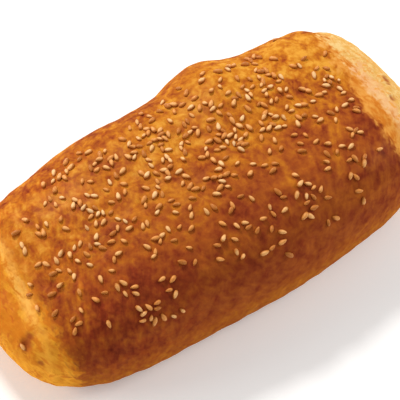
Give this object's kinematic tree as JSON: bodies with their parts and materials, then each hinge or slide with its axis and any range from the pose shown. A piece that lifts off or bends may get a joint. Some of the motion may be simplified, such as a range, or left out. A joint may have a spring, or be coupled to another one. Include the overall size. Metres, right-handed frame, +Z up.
{
  "type": "cheese pastry",
  "caption": "Whole baked cheese pastry: an oblong, puffed and egg-washed parcel with a flat base and sesame seeds baked onto its crown.",
  "frame": {"origin": "centre of the pastry's footprint, on the surface it rests on", "axes": "+X along the pastry, +Y across it towards the side with the lobe, +Z up from the flat base"},
  "size_m": [0.165, 0.0834, 0.0446],
  "materials": {
    "crust": "baked, egg-washed crust, golden brown with darker patches and paler ends, softly glossy",
    "sesame_seed": "toasted sesame hull, cream, satin"
  },
  "bodies": {
    "root": {"pastry": "crust"}
  },
  "joints": []
}
